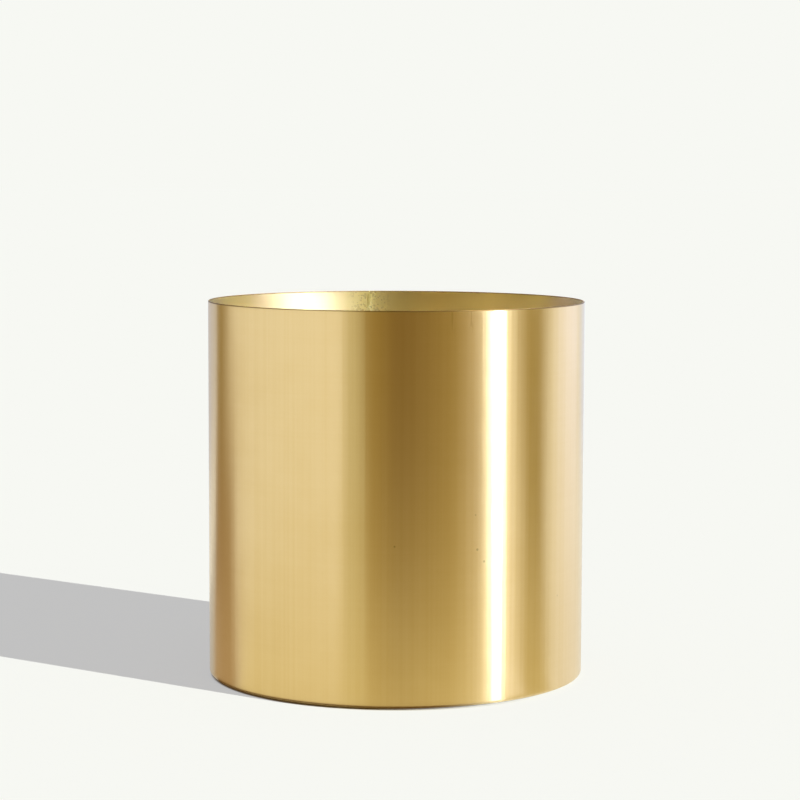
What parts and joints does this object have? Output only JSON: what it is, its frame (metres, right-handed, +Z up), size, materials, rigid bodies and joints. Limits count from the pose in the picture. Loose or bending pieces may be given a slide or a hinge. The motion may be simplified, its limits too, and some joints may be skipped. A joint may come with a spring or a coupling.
{
  "type": "cachepot",
  "caption": "Straight-sided round brushed-brass cachepot with a turned-in lip under a flat base disc and small rubber feet.",
  "frame": {"origin": "on the surface the pot stands on, under the middle of the base", "axes": "+Z up along the pot's axis, -Y towards the side that the picture shows, so the wall's seam is at the back"},
  "size_m": [0.2, 0.2, 0.2],
  "materials": {
    "brushed_brass": "brushed round the pot, satin, clear-lacquered",
    "plain_brass": "mill finish, satin",
    "hard_solder": "dressed, slightly pitted",
    "foot_rubber": "matt black"
  },
  "bodies": {
    "root": {"wall": "brushed_brass", "wall_seam": "hard_solder", "base_disc": "plain_brass", "base_seam": "hard_solder", "foot_1": "foot_rubber", "foot_2": "foot_rubber", "foot_3": "foot_rubber", "foot_4": "foot_rubber"}
  },
  "joints": []
}
